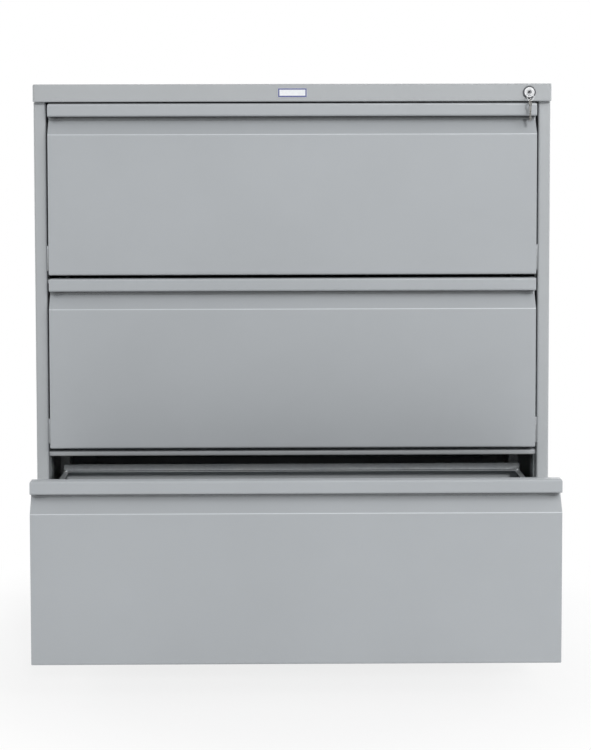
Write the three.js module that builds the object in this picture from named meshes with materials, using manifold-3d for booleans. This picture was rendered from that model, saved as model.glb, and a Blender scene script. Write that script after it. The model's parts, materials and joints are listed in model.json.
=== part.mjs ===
// A three drawer lateral filing cabinet in folded sheet steel, with its lowest drawer part open.
// Millimetres, +Z up, +X to the right seen from the front, front towards -Y.
import * as THREE from "three";
import { mergeVertices } from "three/addons/utils/BufferGeometryUtils.js";
import Module from "manifold-3d";

const wasm = await Module();
wasm.setup();

// Sheet metal and fits
const SHEET = 1.2;
const BEND = 2.2;
const SEAT = 0.3;

// Case
const WIDTH = 914;
const DEPTH = 457;
const BASE_HEIGHT = 62;
const CAP_RIM = 31;
const CAP_RETURN = 18;
const CAP_CORNER = 4.5;
const CAP_EDGE = 2;
const FRONT_PROUD = 12.5;
const POST_FACE = 21.3;
const POST_DEPTH = 27;
const BACK_FLANGE = 20;
const TOP_FLANGE = 15;
const SIDE_FLOOR_GAP = 20;
const BASE_PLATE_DROP = 4;
const KICK_DEPTH = 26;
const CROSSRAIL_TOP_DROP = 7.2;
const CROSSRAIL_HEIGHT = 9.8;
const CROSSRAIL_DEPTH = 26;
const CROSSRAIL_SETBACK = 1.2;
const BACK_RIB_HEIGHT = 40;
const BACK_RIB_DEPTH = 4;
const BACK_RIB_INSET = 60;

// Slide uprights
const UPRIGHT_WIDTH = 40;
const FRONT_UPRIGHT_SETBACK = 12;
const REAR_UPRIGHT_CLEARANCE = 16;
const UPRIGHT_SLOT_WIDTH = 4;
const UPRIGHT_SLOT_LENGTH = 14;
const UPRIGHT_SLOTS_PER_DRAWER = 3;

// Levelling feet
const FOOT_RADIUS = 19;
const FOOT_HEIGHT = 10;
const FOOT_EDGE = 5;
const FOOT_NECK_RADIUS = 9;
const STUD_RADIUS = 4;
const STUD_LENGTH = 32;
const BOSS_RADIUS = 9;
const BOSS_FLOOR_GAP = 24;
const FOOT_INSET_X = 46;
const FOOT_INSET_Y = 48;

// Drawer fronts
const DRAWER_NAMES = ["bottom", "middle", "top"];
const REST_OPENINGS = [280, 0, 0];
const FRONT_HEIGHT = 302.5;
const FRONT_GAP = 6.2;
const TOP_GAP = 2.8;
const FRONT_SIDE_GAP = 4.5;
const FRONT_DEPTH = 20;
const FRONT_CORNER = 4;
const LIP_HEIGHT = 22.8;
const LIP_HEM = 4.5;
const FACE_DROP = 54.5;
const SLOPE_RISE = 25.5;
const RECESS_DEPTH = 18.5;
const LINER_FLANGE = 12;
const LINER_TOP_GAP = 2;

// Drawer boxes
const TRAY_RISE = 4;
const BOX_TOP_DROP = 55.5;
const BOX_REAR_CLEARANCE = 35;
const HEM = 11;
const RAIL_HEIGHT = 13;
const RAIL_FOOT = 10;
const RAIL_THICKNESS = 1.5;
const RAIL_INSET = 24;
const RAIL_END_INSET = 2;

// Slides
const SLIDE_THICKNESS = 12.4;
const SLIDE_RISE = 7;
const SLIDE_HEIGHT = 45;
const SLIDE_SHEET = 1.2;
const SLIDE_BEND = 0.8;
const SLIDE_LIP = 3.2;
const CASE_FLANGE = 9.6;
const MIDDLE_HEIGHT = 32;
const MIDDLE_FLANGE = 7.6;
const MIDDLE_WEB_GAP = 1;
const MIDDLE_SHORTER = 10;
const INNER_HEIGHT = 20;
const INNER_FLANGE = 6.5;
const BALLS_PER_ROW = 4;
const BALL_SINK = 0.2;
const BALL_END_INSET = 30;

// Lock
const LOCK_INSET = 40;
const BEZEL_RADIUS = 11.2;
const BEZEL_PROUD = 3;
const BEZEL_EDGE = 1;
const BARREL_RADIUS = 9.5;
const BARREL_LENGTH = 24;
const NUT_FLATS = 22.5;
const NUT_THICKNESS = 4;
const PLUG_RADIUS = 6.2;
const PLUG_RECESS = 0.5;
const KEYWAY_WIDTH = 2.5;
const KEYWAY_HEIGHT = 8.4;
const KEYWAY_DEPTH = 22;
const TAIL_SIZE = 6;
const TAIL_LENGTH = 3.4;
const CAM_BOSS_RADIUS = 6.2;
const CAM_ARM = 10;
const CAM_END_RADIUS = 3.6;
const CAM_THICKNESS = 2.5;
const CAM_GAP = 1.3;
const CAM_REST_ANGLE = Math.PI / 4;
const PIN_RADIUS = 2;
const PIN_CLEARANCE = 0.9;
const BAR_THICKNESS = 2;
const BAR_GAP = 1;
const BAR_EDGE = 2;
const BAR_INSET = 4;
const BAR_WIDTH = 10;
const HOOK_HEIGHT = 10;
const HOOK_REACH = 9;
const HOOK_LIFT = 3;
const CATCH_RISE = 120;
const CATCH_HEIGHT = 10;
const CATCH_REACH = 8.3;
const CATCH_THICKNESS = 2;
const CATCH_GAP = 1;
const BAR_SLOT_GAP = 0.5;

// Badge plate and key
const BADGE_WIDTH = 51;
const BADGE_HEIGHT = 16;
const BADGE_THICKNESS = 1.2;
const BADGE_CORNER = 2;
const KEY_THICKNESS = 1.8;
const KEY_BOW_RADIUS = 7;
const KEY_HOLE_RADIUS = 4.6;
const KEY_NECK = 4.5;
const KEY_BLADE_LENGTH = 20;
const KEY_BLADE_HALF = 3.4;
const KEY_NOTCH = 1.4;
const KEY_NOTCHES = 4;
const RING_RADIUS = 6;
const RING_WIRE = 0.6;
const RING_HANG = 0.55;

// Facets
const BEND_STEPS = 2;
const ROUND_STEPS = 24;
const WIRE_SIDES = 6;

// Places worked out from the sizes above
const HALF = WIDTH / 2;
const DRAWER_PITCH = FRONT_HEIGHT + FRONT_GAP;
const CAP_BOTTOM = BASE_HEIGHT + DRAWER_NAMES.length * DRAWER_PITCH - FRONT_GAP + TOP_GAP;
const CAP_TOP = CAP_BOTTOM + CAP_RIM;
const SIDE_TOP = CAP_BOTTOM - SEAT;
const POST_INNER = HALF - POST_FACE;
const FRONT_HALF = POST_INNER - FRONT_SIDE_GAP;
const FACE_HEIGHT = FRONT_HEIGHT - FACE_DROP;
const LIP_BOTTOM = FRONT_HEIGHT - LIP_HEIGHT;
const LINER_BACK = FRONT_DEPTH + SEAT + SHEET;
const BOX_FRONT = LINER_BACK + SEAT;
const BOX_REAR = DEPTH - BOX_REAR_CLEARANCE;
const BOX_TOP = FRONT_HEIGHT - BOX_TOP_DROP;
const SLIDE_CASE_X = POST_INNER - SEAT;
const SLIDE_DRAWER_X = SLIDE_CASE_X - SLIDE_THICKNESS;
const TRAY_HALF = SLIDE_DRAWER_X - SEAT;
const SLIDE_MID_Z = SLIDE_RISE + SLIDE_HEIGHT / 2;
const BACK_PANEL_Y = DEPTH - SHEET - SEAT;
const BASE_TOP = BASE_HEIGHT - BASE_PLATE_DROP;
const LOCK_X = HALF - LOCK_INSET;
const LOCK_Z = CAP_BOTTOM + CAP_RIM / 2;
const CAM_FRONT = BARREL_LENGTH + CAM_GAP;
const CAM_BACK = CAM_FRONT + CAM_THICKNESS;
const BAR_FRONT = CAM_BACK + BAR_GAP;
const BAR_BACK = BAR_FRONT + BAR_THICKNESS;
const BAR_X1 = HALF - SHEET - BAR_INSET;
const BAR_X0 = BAR_X1 - BAR_WIDTH;
const BAR_TRAVEL = 2 * CAM_ARM * Math.sin(CAM_REST_ANGLE);
const CATCH_FRONT = BAR_BACK + CATCH_GAP;
const drawerBottom = (index) => BASE_HEIGHT + index * DRAWER_PITCH;
const hookBottom = (index) => drawerBottom(index) + CATCH_RISE + CATCH_HEIGHT + HOOK_LIFT;

const FINISHES = {
  paint: { color: 0xaeb3b6, roughness: 0.5, metalness: 0.1 },
  frontPaint: { color: 0xb1b7bc, roughness: 0.48, metalness: 0.1 },
  zinc: { color: 0xb9bcbd, roughness: 0.35, metalness: 0.9 },
  chrome: { color: 0xe6e8ea, roughness: 0.15, metalness: 1 },
  nickel: { color: 0xc9c6bd, roughness: 0.3, metalness: 1 },
  plastic: { color: 0x1d1e20, roughness: 0.6, metalness: 0 },
  enamel: { color: 0xf2f4f6, roughness: 0.25, metalness: 0 },
};

// Closed mesh to solid and back

function toSolid(geometry) {
  const bare = new THREE.BufferGeometry();
  bare.setAttribute("position", geometry.getAttribute("position"));
  bare.setIndex(geometry.index);
  const merged = mergeVertices(bare, 1e-4);
  return new wasm.Manifold(
    new wasm.Mesh({
      numProp: 3,
      vertProperties: new Float32Array(merged.getAttribute("position").array),
      triVerts: new Uint32Array(merged.index.array),
    }),
  );
}

function toGeometry(solid) {
  const mesh = solid.getMesh();
  const geometry = new THREE.BufferGeometry();
  geometry.setAttribute("position", new THREE.BufferAttribute(mesh.vertProperties, 3));
  geometry.setIndex(new THREE.BufferAttribute(mesh.triVerts, 1));
  return geometry;
}

function join(...geometries) {
  return toGeometry(geometries.map(toSolid).reduce((sum, next) => sum.add(next)));
}

function common(first, second) {
  return toGeometry(toSolid(first).intersect(toSolid(second)));
}

function cut(geometry, ...tools) {
  return toGeometry(tools.map(toSolid).reduce((rest, tool) => rest.subtract(tool), toSolid(geometry)));
}

// Basic forms

function box(x0, x1, y0, y1, z0, z1) {
  const form = new THREE.BoxGeometry(x1 - x0, y1 - y0, z1 - z0);
  return form.translate((x0 + x1) / 2, (y0 + y1) / 2, (z0 + z1) / 2);
}

function extrude(shape, length, steps = BEND_STEPS) {
  return new THREE.ExtrudeGeometry(shape, {
    depth: length,
    bevelEnabled: false,
    curveSegments: steps,
  });
}

// A profile drawn in y and z, run along x.
function alongX(shape, x0, x1, steps) {
  const turn = new THREE.Matrix4().makeBasis(
    new THREE.Vector3(0, 1, 0),
    new THREE.Vector3(0, 0, 1),
    new THREE.Vector3(1, 0, 0),
  );
  return extrude(shape, x1 - x0, steps).applyMatrix4(turn).translate(x0, 0, 0);
}

// A profile drawn in x and z, run along y.
function alongY(shape, y0, y1) {
  const turn = new THREE.Matrix4().makeBasis(
    new THREE.Vector3(1, 0, 0),
    new THREE.Vector3(0, 0, 1),
    new THREE.Vector3(0, -1, 0),
  );
  return extrude(shape, y1 - y0).applyMatrix4(turn).translate(0, y1, 0);
}

// A profile drawn in x and y, run along z.
function alongZ(shape, z0, z1) {
  return extrude(shape, z1 - z0).translate(0, 0, z0);
}

// A turned form about an upright axis, from radius and height pairs.
function turned(pairs) {
  return new THREE.LatheGeometry(
    pairs.map(([radius, height]) => new THREE.Vector2(radius, height)),
    ROUND_STEPS,
  );
}

function disc(radius, y0, y1) {
  return new THREE.CylinderGeometry(radius, radius, y1 - y0, ROUND_STEPS).translate(0, (y0 + y1) / 2, 0);
}

// Draws a line through the points with its corners rounded, on from where the shape is.
function traceRounded(shape, points, radii) {
  points.forEach((point, index) => {
    const corner = new THREE.Vector2(...point);
    if (index === 0 || index === points.length - 1) {
      shape.lineTo(corner.x, corner.y);
      return;
    }
    const before = new THREE.Vector2(...points[index - 1]).sub(corner).normalize();
    const after = new THREE.Vector2(...points[index + 1]).sub(corner).normalize();
    const half = Math.acos(THREE.MathUtils.clamp(before.dot(after), -1, 1)) / 2;
    const reach = radii[index] / Math.tan(half);
    const middle = before.clone().add(after).normalize();
    const centre = corner.clone().addScaledVector(middle, radii[index] / Math.sin(half));
    const start = corner.clone().addScaledVector(before, reach);
    const end = corner.clone().addScaledVector(after, reach);
    const clockwise = before.cross(after) > 0;
    shape.lineTo(start.x, start.y);
    shape.absarc(
      centre.x,
      centre.y,
      radii[index],
      Math.atan2(start.y - centre.y, start.x - centre.x),
      Math.atan2(end.y - centre.y, end.x - centre.x),
      clockwise,
    );
  });
}

// The points of a line moved sideways to its right by a distance.
function movedRight(points, distance) {
  const lines = points.slice(1).map((point, index) => {
    const start = new THREE.Vector2(...points[index]);
    const along = new THREE.Vector2(...point).sub(start).normalize();
    const right = new THREE.Vector2(along.y, -along.x).multiplyScalar(distance);
    return { start: start.add(right), along };
  });
  return points.map((point, index) => {
    if (index === 0) return lines[0].start.toArray();
    const line = lines[index - 1];
    if (index === points.length - 1) {
      const length = new THREE.Vector2(...point).distanceTo(new THREE.Vector2(...points[index - 1]));
      return line.start.clone().addScaledVector(line.along, length).toArray();
    }
    const next = lines[index];
    const between = next.start.clone().sub(line.start);
    const share = between.cross(next.along) / line.along.cross(next.along);
    return line.start.clone().addScaledVector(line.along, share).toArray();
  });
}

// Radii of the bends on one side of a folded strip: the strip lies to the right of its line.
function bendRadii(points, inside, thickness, onLine) {
  return points.map((point, index) => {
    if (index === 0 || index === points.length - 1) return 0;
    const before = new THREE.Vector2(...point).sub(new THREE.Vector2(...points[index - 1]));
    const after = new THREE.Vector2(...points[index + 1]).sub(new THREE.Vector2(...point));
    const turnsRight = before.cross(after) < 0;
    return turnsRight === onLine ? inside + thickness : inside;
  });
}

// Section of a folded sheet whose face follows the points and whose thickness lies to their right.
function folded(points, thickness = SHEET, bend = BEND) {
  const inner = movedRight(points, thickness);
  const shape = new THREE.Shape();
  shape.moveTo(...points[0]);
  traceRounded(shape, points, bendRadii(points, bend, thickness, true));
  const innerRadii = bendRadii(points, bend, thickness, false);
  traceRounded(shape, inner.reverse(), innerRadii.reverse());
  return shape;
}

function roundedRectangle(x0, x1, y0, y1, radius) {
  const shape = new THREE.Shape();
  const loop = [
    [(x0 + x1) / 2, y0],
    [x1, y0],
    [x1, y1],
    [x0, y1],
    [x0, y0],
    [(x0 + x1) / 2, y0],
  ];
  shape.moveTo(...loop[0]);
  traceRounded(shape, loop, loop.map(() => radius));
  return shape;
}

// Scene

function addPiece(group, name, geometry, finish) {
  const mesh = new THREE.Mesh(geometry, new THREE.MeshStandardMaterial(FINISHES[finish]));
  mesh.name = name;
  group.add(mesh);
  return mesh;
}

// Case pieces

// Side wall folded round the front into a post and round the back into a flange.
function sidePanel() {
  const wall = alongZ(
    folded([
      [HALF - BACK_FLANGE, DEPTH],
      [HALF, DEPTH],
      [HALF, FRONT_PROUD],
      [POST_INNER, FRONT_PROUD],
      [POST_INNER, FRONT_PROUD + POST_DEPTH],
    ]),
    SIDE_FLOOR_GAP,
    SIDE_TOP,
  );
  const flange = box(
    HALF - TOP_FLANGE,
    HALF - SHEET / 2,
    FRONT_PROUD + POST_DEPTH,
    DEPTH - SHEET - BEND - SHEET,
    SIDE_TOP - SHEET,
    SIDE_TOP,
  );
  return join(wall, flange);
}

// The right hand post has a slot for each hook of the lock bar.
function lockSidePanel() {
  const slots = DRAWER_NAMES.map((name, index) =>
    box(
      POST_INNER - SHEET,
      POST_INNER + 2 * SHEET,
      BAR_FRONT - BAR_SLOT_GAP,
      BAR_BACK + BAR_SLOT_GAP,
      hookBottom(index) - BAR_TRAVEL - BAR_EDGE,
      hookBottom(index) + HOOK_HEIGHT + BAR_EDGE,
    ),
  );
  return cut(sidePanel(), ...slots);
}

// Folded lid: rims all round with returns that sit on the side panels.
function topCap() {
  const shell = new THREE.ExtrudeGeometry(roundedRectangle(-HALF, HALF, 0, DEPTH, CAP_CORNER), {
    depth: CAP_RIM - 2 * CAP_EDGE,
    bevelThickness: CAP_EDGE,
    bevelSize: CAP_EDGE,
    bevelOffset: -CAP_EDGE,
    bevelSegments: BEND_STEPS,
    curveSegments: BEND_STEPS,
  }).translate(0, 0, CAP_BOTTOM + CAP_EDGE);
  const hollow = alongZ(
    roundedRectangle(-HALF + SHEET, HALF - SHEET, SHEET, DEPTH - SHEET, CAP_CORNER - SHEET),
    CAP_BOTTOM + SHEET,
    CAP_TOP - SHEET,
  );
  const mouth = box(
    -HALF + CAP_RETURN,
    HALF - CAP_RETURN,
    CAP_RETURN,
    DEPTH - CAP_RETURN,
    CAP_BOTTOM - SHEET,
    CAP_BOTTOM + 2 * SHEET,
  );
  const lockHole = disc(BARREL_RADIUS + SEAT, -SHEET, 2 * SHEET).translate(LOCK_X, 0, LOCK_Z);
  const barPassage = box(
    BAR_X0 - BAR_EDGE,
    BAR_X1 + BAR_EDGE,
    BAR_FRONT - BAR_EDGE,
    BAR_BACK + BAR_EDGE,
    CAP_BOTTOM - SHEET,
    CAP_BOTTOM + 2 * SHEET,
  );
  return cut(shell, hollow, mouth, lockHole, barPassage);
}

// Plain plate on the middle of the cap's front rim.
function badgePlate() {
  const low = LOCK_Z - BADGE_HEIGHT / 2;
  const outline = roundedRectangle(-BADGE_WIDTH / 2, BADGE_WIDTH / 2, low, low + BADGE_HEIGHT, BADGE_CORNER);
  return alongY(outline, -SEAT - BADGE_THICKNESS, -SEAT);
}

// Flat sheet with three pressed ribs, held between the flanges of the side panels.
function backPanel() {
  const halfWidth = HALF - SHEET - BEND;
  const bottom = SIDE_FLOOR_GAP;
  const spacing = (SIDE_TOP - bottom) / (DRAWER_NAMES.length + 1);
  const ribHalf = halfWidth - BACK_RIB_INSET;
  const ribs = DRAWER_NAMES.map((name, index) => {
    const middle = bottom + spacing * (index + 1);
    return new THREE.Vector2(middle - BACK_RIB_HEIGHT / 2, middle + BACK_RIB_HEIGHT / 2);
  });
  const sheet = box(-halfWidth, halfWidth, BACK_PANEL_Y - SHEET, BACK_PANEL_Y, bottom, SIDE_TOP);
  const swellings = ribs.map((rib) => backRib(ribHalf, rib.x, rib.y, 0));
  const hollows = ribs.map((rib) => backRib(ribHalf - SHEET, rib.x + SHEET, rib.y - SHEET, SHEET));
  return cut(join(sheet, ...swellings), ...hollows);
}

// Tapered rib that stands forward of the back sheet.
function backRib(halfWidth, low, high, lift) {
  const root = BACK_PANEL_Y - SHEET + lift + SHEET / 2;
  const crest = BACK_PANEL_Y - SHEET - BACK_RIB_DEPTH + lift;
  const rib = new THREE.Shape();
  rib.moveTo(root, low);
  rib.lineTo(root, high);
  rib.lineTo(crest, high - BACK_RIB_DEPTH);
  rib.lineTo(crest, low + BACK_RIB_DEPTH);
  return alongX(rib, -halfWidth, halfWidth);
}

// Channel open to the rear between the two posts.
function channel(front, depth, low, high) {
  const section = folded([
    [front + depth, low],
    [front, low],
    [front, high],
    [front + depth, high],
  ]);
  return alongX(section, -POST_INNER + SEAT, POST_INNER - SEAT);
}

// Bottom plate with its edges turned down and a threaded boss over each foot.
function basePan() {
  const halfWidth = HALF - SHEET - SEAT;
  const front = FRONT_PROUD + POST_DEPTH + SEAT;
  const rear = BACK_PANEL_Y - SHEET - SEAT;
  const block = box(-halfWidth, halfWidth, front, rear, SIDE_FLOOR_GAP, BASE_TOP);
  const hollow = box(
    -halfWidth + SHEET,
    halfWidth - SHEET,
    front + SHEET,
    rear - SHEET,
    SIDE_FLOOR_GAP - SHEET,
    BASE_TOP - SHEET,
  );
  const top = BASE_TOP - SHEET / 2;
  const bosses = footPlaces().map(([x, y]) =>
    turned([
      [STUD_RADIUS + SEAT, BOSS_FLOOR_GAP],
      [BOSS_RADIUS, BOSS_FLOOR_GAP],
      [BOSS_RADIUS, top],
      [STUD_RADIUS + SEAT, top],
      [STUD_RADIUS + SEAT, BOSS_FLOOR_GAP],
    ])
      .rotateX(Math.PI / 2)
      .translate(x, y, 0),
  );
  return join(cut(block, hollow), ...bosses);
}

function footPlaces() {
  const x = HALF - FOOT_INSET_X;
  const front = FRONT_PROUD + POST_DEPTH + FOOT_INSET_Y;
  const rear = DEPTH - FOOT_INSET_Y;
  return [
    [-x, front],
    [x, front],
    [-x, rear],
    [x, rear],
  ];
}

function levellingFoot() {
  return turned([
    [0, 0],
    [FOOT_RADIUS, 0],
    [FOOT_RADIUS, FOOT_EDGE],
    [FOOT_NECK_RADIUS, FOOT_HEIGHT],
    [STUD_RADIUS, FOOT_HEIGHT],
    [STUD_RADIUS, FOOT_HEIGHT + STUD_LENGTH],
    [0, FOOT_HEIGHT + STUD_LENGTH],
  ]).rotateX(Math.PI / 2);
}

// Slotted channel that stands between the side wall and the slides.
function slideUpright(front) {
  const outer = HALF - SHEET - SEAT;
  const post = alongZ(
    folded([
      [outer, front],
      [POST_INNER, front],
      [POST_INNER, front + UPRIGHT_WIDTH],
      [outer, front + UPRIGHT_WIDTH],
    ]),
    BASE_TOP + SEAT,
    SIDE_TOP - SHEET - SEAT,
  );
  const middle = front + UPRIGHT_WIDTH / 2;
  const slots = [];
  DRAWER_NAMES.forEach((name, index) => {
    for (let step = 0; step < UPRIGHT_SLOTS_PER_DRAWER; step += 1) {
      const height = drawerBottom(index) + SLIDE_MID_Z + (step * DRAWER_PITCH) / UPRIGHT_SLOTS_PER_DRAWER;
      slots.push(
        box(
          POST_INNER - SHEET,
          POST_INNER + 2 * SHEET,
          middle - UPRIGHT_SLOT_WIDTH / 2,
          middle + UPRIGHT_SLOT_WIDTH / 2,
          height - UPRIGHT_SLOT_LENGTH / 2,
          height + UPRIGHT_SLOT_LENGTH / 2,
        ),
      );
    }
  });
  return cut(post, ...slots);
}

// Slides, drawn for the right hand side about the slide's own middle height

function caseMember() {
  const lip = SLIDE_CASE_X - CASE_FLANGE;
  const half = SLIDE_HEIGHT / 2;
  const section = folded(
    [
      [lip, half - SLIDE_LIP],
      [lip, half],
      [SLIDE_CASE_X, half],
      [SLIDE_CASE_X, -half],
      [lip, -half],
      [lip, -half + SLIDE_LIP],
    ],
    SLIDE_SHEET,
    SLIDE_BEND,
  );
  return alongY(section, BOX_FRONT, BOX_REAR);
}

function drawerMember() {
  const half = INNER_HEIGHT / 2;
  const section = folded(
    [
      [SLIDE_DRAWER_X + INNER_FLANGE, -half],
      [SLIDE_DRAWER_X, -half],
      [SLIDE_DRAWER_X, half],
      [SLIDE_DRAWER_X + INNER_FLANGE, half],
    ],
    SLIDE_SHEET,
    SLIDE_BEND,
  );
  return alongY(section, BOX_FRONT, BOX_REAR);
}

// Middle member with the ball rows that run against the other two members.
function middleMember() {
  const web = SLIDE_CASE_X - SLIDE_SHEET - MIDDLE_WEB_GAP;
  const half = MIDDLE_HEIGHT / 2;
  const front = BOX_FRONT;
  const rear = BOX_REAR - MIDDLE_SHORTER;
  const section = folded(
    [
      [web - MIDDLE_FLANGE, half],
      [web, half],
      [web, -half],
      [web - MIDDLE_FLANGE, -half],
    ],
    SLIDE_SHEET,
    SLIDE_BEND,
  );
  const outerRace = SLIDE_HEIGHT / 2 - SLIDE_SHEET - SEAT;
  const outerRadius = (outerRace - half + BALL_SINK) / 2;
  const innerWall = half - SLIDE_SHEET;
  const innerRace = INNER_HEIGHT / 2 + SEAT;
  const innerRadius = (innerWall - innerRace + BALL_SINK) / 2;
  const outerX = web - MIDDLE_FLANGE / 2;
  const innerX = SLIDE_DRAWER_X + (INNER_FLANGE + SLIDE_SHEET) / 2 + SLIDE_SHEET;
  const balls = [];
  for (let step = 0; step < BALLS_PER_ROW; step += 1) {
    const share = step / (BALLS_PER_ROW - 1);
    const y = THREE.MathUtils.lerp(front + BALL_END_INSET, rear - BALL_END_INSET, share);
    for (const side of [-1, 1]) {
      balls.push(ball(outerRadius, outerX, y, side * (outerRace - outerRadius)));
      balls.push(ball(innerRadius, innerX, y, side * (innerRace + innerRadius)));
    }
  }
  return join(alongY(section, front, rear), ...balls);
}

function ball(radius, x, y, z) {
  return new THREE.OctahedronGeometry(radius, 1).translate(x, y, z);
}

// Drawer pieces, drawn with y from the closed front's face and z from its lower edge

// Formed front: bottom return, face, sloped band, wall behind the fingers, top, lip and its hem.
function frontSkin() {
  const line = [
    [FRONT_DEPTH, 0],
    [0, 0],
    [0, FACE_HEIGHT],
    [RECESS_DEPTH, FACE_HEIGHT + SLOPE_RISE],
    [RECESS_DEPTH, FRONT_HEIGHT - SHEET],
    [SHEET, FRONT_HEIGHT - SHEET],
    [SHEET, LIP_BOTTOM + SHEET],
    [SHEET + LIP_HEM, LIP_BOTTOM + SHEET],
  ];
  return alongX(folded(line), -FRONT_HALF, FRONT_HALF);
}

// Outline of the plates that close the ends, along the middle of the sheet, with the recess left open.
function frontEnd() {
  const line = [
    [FRONT_DEPTH, 0],
    [0, 0],
    [0, FACE_HEIGHT],
    [RECESS_DEPTH, FACE_HEIGHT + SLOPE_RISE],
    [RECESS_DEPTH, LIP_BOTTOM],
    [0, LIP_BOTTOM],
    [0, FRONT_HEIGHT],
    [FRONT_DEPTH, FRONT_HEIGHT],
  ];
  const middle = movedRight(line, SHEET / 2);
  const end = new THREE.Shape();
  end.moveTo(...middle[0]);
  traceRounded(end, middle, middle.map(() => BEND + SHEET / 2));
  return end;
}

function frontPanel() {
  const leftEnd = alongX(frontEnd(), -FRONT_HALF, -FRONT_HALF + SHEET);
  const rightEnd = alongX(frontEnd(), FRONT_HALF - SHEET, FRONT_HALF);
  const silhouette = new THREE.Shape();
  const loop = [
    [0, 0],
    [FRONT_HALF, 0],
    [FRONT_HALF, FRONT_HEIGHT],
    [-FRONT_HALF, FRONT_HEIGHT],
    [-FRONT_HALF, 0],
    [0, 0],
  ];
  silhouette.moveTo(...loop[0]);
  traceRounded(silhouette, loop, [0, BEND, FRONT_CORNER, FRONT_CORNER, BEND, 0]);
  const bounds = alongY(silhouette, -SHEET, FRONT_DEPTH + SHEET);
  return common(join(frontSkin(), leftEnd, rightEnd), bounds);
}

function frontLiner() {
  const low = SHEET + SEAT;
  const section = folded([
    [LINER_BACK, FRONT_HEIGHT - LINER_TOP_GAP],
    [LINER_BACK, low],
    [LINER_BACK - SHEET - LINER_FLANGE, low],
  ]);
  const halfWidth = FRONT_HALF - SHEET - SEAT;
  return alongX(section, -halfWidth, halfWidth);
}

// Bottom and both sides in one folded sheet with hems, and a lanced catch for the lock bar.
function tray() {
  const section = folded([
    [TRAY_HALF - HEM, BOX_TOP],
    [TRAY_HALF, BOX_TOP],
    [TRAY_HALF, TRAY_RISE],
    [-TRAY_HALF, TRAY_RISE],
    [-TRAY_HALF, BOX_TOP],
    [-TRAY_HALF + HEM, BOX_TOP],
  ]);
  const lockCatch = box(
    TRAY_HALF - SHEET / 2,
    TRAY_HALF + CATCH_REACH,
    CATCH_FRONT,
    CATCH_FRONT + CATCH_THICKNESS,
    CATCH_RISE,
    CATCH_RISE + CATCH_HEIGHT,
  );
  return join(alongY(section, BOX_FRONT, BOX_REAR), lockCatch);
}

function drawerBack() {
  const low = TRAY_RISE + SHEET + SEAT;
  const high = BOX_TOP - SHEET - SEAT;
  const section = folded([
    [BOX_REAR - HEM, high],
    [BOX_REAR, high],
    [BOX_REAR, low],
    [BOX_REAR - HEM, low],
  ]);
  const halfWidth = TRAY_HALF - SHEET - BEND;
  return alongX(section, -halfWidth, halfWidth);
}

// Angle rail that lies across the hems and carries the folder hooks on its upright leg.
function hangerRail(line) {
  const halfWidth = TRAY_HALF - RAIL_END_INSET;
  return alongX(folded(line, RAIL_THICKNESS, SLIDE_BEND), -halfWidth, halfWidth);
}

function frontHangerRail() {
  const foot = BOX_TOP + SEAT;
  const leg = BOX_FRONT + RAIL_INSET;
  return hangerRail([
    [leg + RAIL_FOOT, foot],
    [leg, foot],
    [leg, foot + RAIL_HEIGHT],
  ]);
}

function rearHangerRail() {
  const foot = BOX_TOP + SEAT;
  const leg = BOX_REAR - RAIL_INSET;
  return hangerRail([
    [leg, foot + RAIL_HEIGHT],
    [leg, foot],
    [leg - RAIL_FOOT, foot],
  ]);
}

// Lock pieces, drawn about the lock's own axis, which runs along y

function lockHousing() {
  const bore = PLUG_RADIUS + SEAT;
  return turned([
    [bore, BARREL_LENGTH],
    [bore, -BEZEL_PROUD - SEAT],
    [BEZEL_RADIUS - BEZEL_EDGE, -BEZEL_PROUD - SEAT],
    [BEZEL_RADIUS, -BEZEL_PROUD - SEAT + BEZEL_EDGE],
    [BEZEL_RADIUS, -SEAT],
    [BARREL_RADIUS, -SEAT],
    [BARREL_RADIUS, BARREL_LENGTH],
    [bore, BARREL_LENGTH],
  ]);
}

function lockNut() {
  const hexagon = new THREE.Shape();
  const corner = NUT_FLATS / 2 / Math.cos(Math.PI / 6);
  const points = [0, 1, 2, 3, 4, 5].map((step) =>
    new THREE.Vector2(corner, 0).rotateAround(new THREE.Vector2(), (step * Math.PI) / 3),
  );
  hexagon.setFromPoints(points);
  const nut = alongY(hexagon, SHEET + SEAT, SHEET + SEAT + NUT_THICKNESS);
  return cut(nut, disc(BARREL_RADIUS + SEAT, 0, 2 * (SHEET + SEAT) + NUT_THICKNESS));
}

function lockPlug() {
  const face = -BEZEL_PROUD - SEAT + PLUG_RECESS;
  const half = TAIL_SIZE / 2;
  const body = disc(PLUG_RADIUS, face, CAM_FRONT - SEAT);
  const tail = box(-half, half, CAM_FRONT - SEAT - SHEET, CAM_FRONT + TAIL_LENGTH, -half, half);
  const keyway = box(
    -KEYWAY_WIDTH / 2,
    KEYWAY_WIDTH / 2,
    face - SEAT,
    face + KEYWAY_DEPTH,
    -KEYWAY_HEIGHT / 2,
    KEYWAY_HEIGHT / 2,
  );
  return cut(join(body, tail), keyway);
}

// Lever on the plug's square tail, with a pin that runs in the lock bar's slot.
function lockCam() {
  const boss = disc(CAM_BOSS_RADIUS, CAM_FRONT, CAM_BACK);
  const arm = box(0, CAM_ARM, CAM_FRONT, CAM_BACK, -CAM_END_RADIUS, CAM_END_RADIUS);
  const end = disc(CAM_END_RADIUS, CAM_FRONT, CAM_BACK).translate(CAM_ARM, 0, 0);
  const pin = disc(PIN_RADIUS, CAM_FRONT, BAR_BACK + PIN_RADIUS).translate(CAM_ARM, 0, 0);
  const lever = join(boss, arm, end, pin).rotateY(-CAM_REST_ANGLE);
  const half = TAIL_SIZE / 2 + SEAT;
  return cut(lever, box(-half, half, 0, CAM_BACK + SHEET, -half, half));
}

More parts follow.
